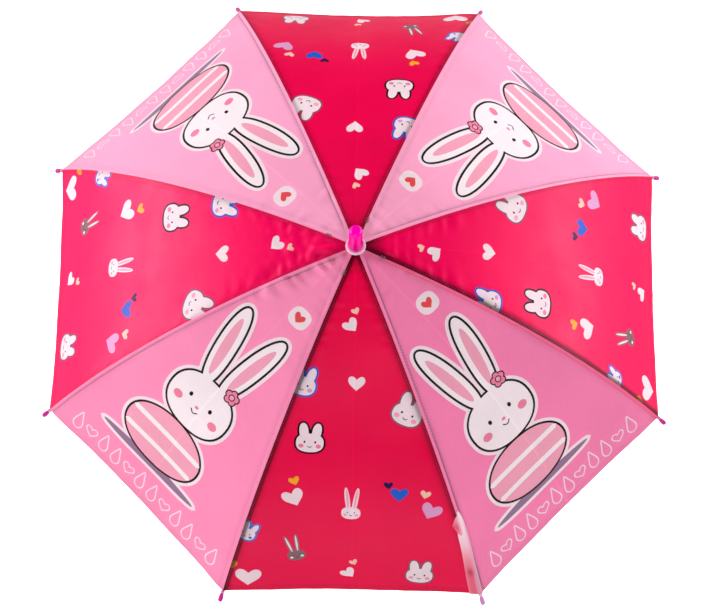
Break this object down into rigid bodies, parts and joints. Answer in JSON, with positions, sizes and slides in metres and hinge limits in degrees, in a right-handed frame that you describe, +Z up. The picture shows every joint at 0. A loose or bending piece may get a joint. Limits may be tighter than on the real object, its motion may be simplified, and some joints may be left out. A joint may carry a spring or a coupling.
{
  "type": "children's umbrella",
  "caption": "Child's stick umbrella, standing open: domed cloth canopy on folding wire ribs and stretchers, sliding runner, thumb catches, plastic ferrule and hook handle.",
  "frame": {"origin": "on the shaft axis, halfway up the straight grip of the handle", "axes": "+Z up the shaft towards the ferrule; +X towards the open end of the handle's hook; +Y is the canopy's far side"},
  "size_m": [0.7852, 0.7852, 0.6513],
  "materials": {
    "cloth_red": "satin",
    "cloth_pink": "satin",
    "magenta_plastic": "gloss",
    "pale_plastic": "gloss",
    "white_plastic": "satin",
    "shaft_chrome": "polished",
    "frame_steel": "satin",
    "wire_steel": "satin",
    "strap_ribbon": "satin",
    "strap_patch": "matte"
  },
  "bodies": {
    "shaft_assembly": {"shaft_tube": "shaft_chrome", "crown_notch": "white_plastic", "crown_wire": "wire_steel", "crown_pin": "wire_steel", "stop_pin": "wire_steel", "canopy_washer": "pale_plastic", "ferrule": "magenta_plastic", "handle": "magenta_plastic", "handle_collar": "pale_plastic", "handle_end_cap": "pale_plastic"},
    "rib_arm_1": {"rib_1": "frame_steel", "rib_tip_1": "magenta_plastic", "joint_rivet_1": "frame_steel", "canopy_gore_1": "cloth_pink"},
    "rib_arm_2": {"rib_2": "frame_steel", "rib_tip_2": "magenta_plastic", "joint_rivet_2": "frame_steel", "canopy_gore_2": "cloth_red"},
    "rib_arm_3": {"rib_3": "frame_steel", "rib_tip_3": "magenta_plastic", "joint_rivet_3": "frame_steel", "canopy_gore_3": "cloth_pink"},
    "rib_arm_4": {"rib_4": "frame_steel", "rib_tip_4": "magenta_plastic", "joint_rivet_4": "frame_steel", "canopy_gore_4": "cloth_red"},
    "rib_arm_5": {"rib_5": "frame_steel", "rib_tip_5": "magenta_plastic", "joint_rivet_5": "frame_steel", "canopy_gore_5": "cloth_pink"},
    "rib_arm_6": {"rib_6": "frame_steel", "rib_tip_6": "magenta_plastic", "joint_rivet_6": "frame_steel", "canopy_gore_6": "cloth_red"},
    "rib_arm_7": {"rib_7": "frame_steel", "rib_tip_7": "magenta_plastic", "joint_rivet_7": "frame_steel", "canopy_gore_7": "cloth_pink", "tie_strap": "strap_ribbon", "tie_strap_patch": "strap_patch"},
    "rib_arm_8": {"rib_8": "frame_steel", "rib_tip_8": "magenta_plastic", "joint_rivet_8": "frame_steel", "canopy_gore_8": "cloth_red"},
    "stretcher_arm_1": {"stretcher_1": "frame_steel"},
    "stretcher_arm_2": {"stretcher_2": "frame_steel"},
    "stretcher_arm_3": {"stretcher_3": "frame_steel"},
    "stretcher_arm_4": {"stretcher_4": "frame_steel"},
    "stretcher_arm_5": {"stretcher_5": "frame_steel"},
    "stretcher_arm_6": {"stretcher_6": "frame_steel"},
    "stretcher_arm_7": {"stretcher_7": "frame_steel"},
    "stretcher_arm_8": {"stretcher_8": "frame_steel"},
    "runner_slider": {"runner": "magenta_plastic", "runner_wire": "wire_steel"},
    "top_catch_spring": {"top_catch": "wire_steel"},
    "bottom_catch_spring": {"bottom_catch": "wire_steel"}
  },
  "joints": [
    {"name": "canopy_fold", "type": "hinge", "parent": "shaft_assembly", "child": "rib_arm_1", "pos_m": [0.00739, 0.00306, 0.512], "axis": [-0.3827, 0.9239, 0], "range_deg": [0, 60], "deforming": ["canopy_gore_1", "canopy_gore_2", "canopy_gore_3", "canopy_gore_4", "canopy_gore_5", "canopy_gore_6", "canopy_gore_7", "canopy_gore_8", "tie_strap", "tie_strap_patch", "top_catch", "bottom_catch"]},
    {"name": "rib_fold_2", "type": "hinge", "parent": "shaft_assembly", "child": "rib_arm_2", "pos_m": [0.00306, 0.00739, 0.512], "axis": [-0.9239, 0.3827, 0], "range_deg": [0, 60]},
    {"name": "rib_fold_3", "type": "hinge", "parent": "shaft_assembly", "child": "rib_arm_3", "pos_m": [-0.00306, 0.00739, 0.512], "axis": [-0.9239, -0.3827, 0], "range_deg": [0, 60]},
    {"name": "rib_fold_4", "type": "hinge", "parent": "shaft_assembly", "child": "rib_arm_4", "pos_m": [-0.00739, 0.00306, 0.512], "axis": [-0.3827, -0.9239, 0], "range_deg": [0, 60]},
    {"name": "rib_fold_5", "type": "hinge", "parent": "shaft_assembly", "child": "rib_arm_5", "pos_m": [-0.00739, -0.00306, 0.512], "axis": [0.3827, -0.9239, 0], "range_deg": [0, 60]},
    {"name": "rib_fold_6", "type": "hinge", "parent": "shaft_assembly", "child": "rib_arm_6", "pos_m": [-0.00306, -0.00739, 0.512], "axis": [0.9239, -0.3827, 0], "range_deg": [0, 60]},
    {"name": "rib_fold_7", "type": "hinge", "parent": "shaft_assembly", "child": "rib_arm_7", "pos_m": [0.00306, -0.00739, 0.512], "axis": [0.9239, 0.3827, 0], "range_deg": [0, 60]},
    {"name": "rib_fold_8", "type": "hinge", "parent": "shaft_assembly", "child": "rib_arm_8", "pos_m": [0.00739, -0.00306, 0.512], "axis": [0.3827, 0.9239, 0], "range_deg": [0, 60]},
    {"name": "stretcher_fold_1", "type": "hinge", "parent": "rib_arm_1", "child": "stretcher_arm_1", "pos_m": [0.19944, 0.08261, 0.45961], "axis": [-0.3827, 0.9239, 0], "range_deg": [-120, 0]},
    {"name": "stretcher_fold_2", "type": "hinge", "parent": "rib_arm_2", "child": "stretcher_arm_2", "pos_m": [0.08261, 0.19944, 0.45961], "axis": [-0.9239, 0.3827, 0], "range_deg": [-120, 0]},
    {"name": "stretcher_fold_3", "type": "hinge", "parent": "rib_arm_3", "child": "stretcher_arm_3", "pos_m": [-0.08261, 0.19944, 0.45961], "axis": [-0.9239, -0.3827, 0], "range_deg": [-120, 0]},
    {"name": "stretcher_fold_4", "type": "hinge", "parent": "rib_arm_4", "child": "stretcher_arm_4", "pos_m": [-0.19944, 0.08261, 0.45961], "axis": [-0.3827, -0.9239, 0], "range_deg": [-120, 0]},
    {"name": "stretcher_fold_5", "type": "hinge", "parent": "rib_arm_5", "child": "stretcher_arm_5", "pos_m": [-0.19944, -0.08261, 0.45961], "axis": [0.3827, -0.9239, 0], "range_deg": [-120, 0]},
    {"name": "stretcher_fold_6", "type": "hinge", "parent": "rib_arm_6", "child": "stretcher_arm_6", "pos_m": [-0.08261, -0.19944, 0.45961], "axis": [0.9239, -0.3827, 0], "range_deg": [-120, 0]},
    {"name": "stretcher_fold_7", "type": "hinge", "parent": "rib_arm_7", "child": "stretcher_arm_7", "pos_m": [0.08261, -0.19944, 0.45961], "axis": [0.9239, 0.3827, 0], "range_deg": [-120, 0]},
    {"name": "stretcher_fold_8", "type": "hinge", "parent": "rib_arm_8", "child": "stretcher_arm_8", "pos_m": [0.19944, -0.08261, 0.45961], "axis": [0.3827, 0.9239, 0], "range_deg": [-120, 0]},
    {"name": "runner_hinge", "type": "hinge", "parent": "stretcher_arm_1", "child": "runner_slider", "pos_m": [0.00739, 0.00306, 0.40722], "axis": [-0.3827, 0.9239, 0], "range_deg": [0, 60]},
    {"name": "top_catch_press", "type": "slide", "parent": "shaft_assembly", "child": "top_catch_spring", "axis": [-1, 0, 0], "range_m": [0, 0.0026], "stiffness_N_per_m": 600},
    {"name": "bottom_catch_press", "type": "slide", "parent": "shaft_assembly", "child": "bottom_catch_spring", "axis": [-1, 0, 0], "range_m": [0, 0.0026], "stiffness_N_per_m": 600}
  ],
  "couplings": [
    {"joint": "rib_fold_2", "follows": "canopy_fold", "ratio": 1},
    {"joint": "rib_fold_3", "follows": "canopy_fold", "ratio": 1},
    {"joint": "rib_fold_4", "follows": "canopy_fold", "ratio": 1},
    {"joint": "rib_fold_5", "follows": "canopy_fold", "ratio": 1},
    {"joint": "rib_fold_6", "follows": "canopy_fold", "ratio": 1},
    {"joint": "rib_fold_7", "follows": "canopy_fold", "ratio": 1},
    {"joint": "rib_fold_8", "follows": "canopy_fold", "ratio": 1},
    {"joint": "stretcher_fold_1", "follows": "canopy_fold", "ratio": -2},
    {"joint": "stretcher_fold_2", "follows": "canopy_fold", "ratio": -2},
    {"joint": "stretcher_fold_3", "follows": "canopy_fold", "ratio": -2},
    {"joint": "stretcher_fold_4", "follows": "canopy_fold", "ratio": -2},
    {"joint": "stretcher_fold_5", "follows": "canopy_fold", "ratio": -2},
    {"joint": "stretcher_fold_6", "follows": "canopy_fold", "ratio": -2},
    {"joint": "stretcher_fold_7", "follows": "canopy_fold", "ratio": -2},
    {"joint": "stretcher_fold_8", "follows": "canopy_fold", "ratio": -2},
    {"joint": "runner_hinge", "follows": "canopy_fold", "ratio": 1}
  ]
}
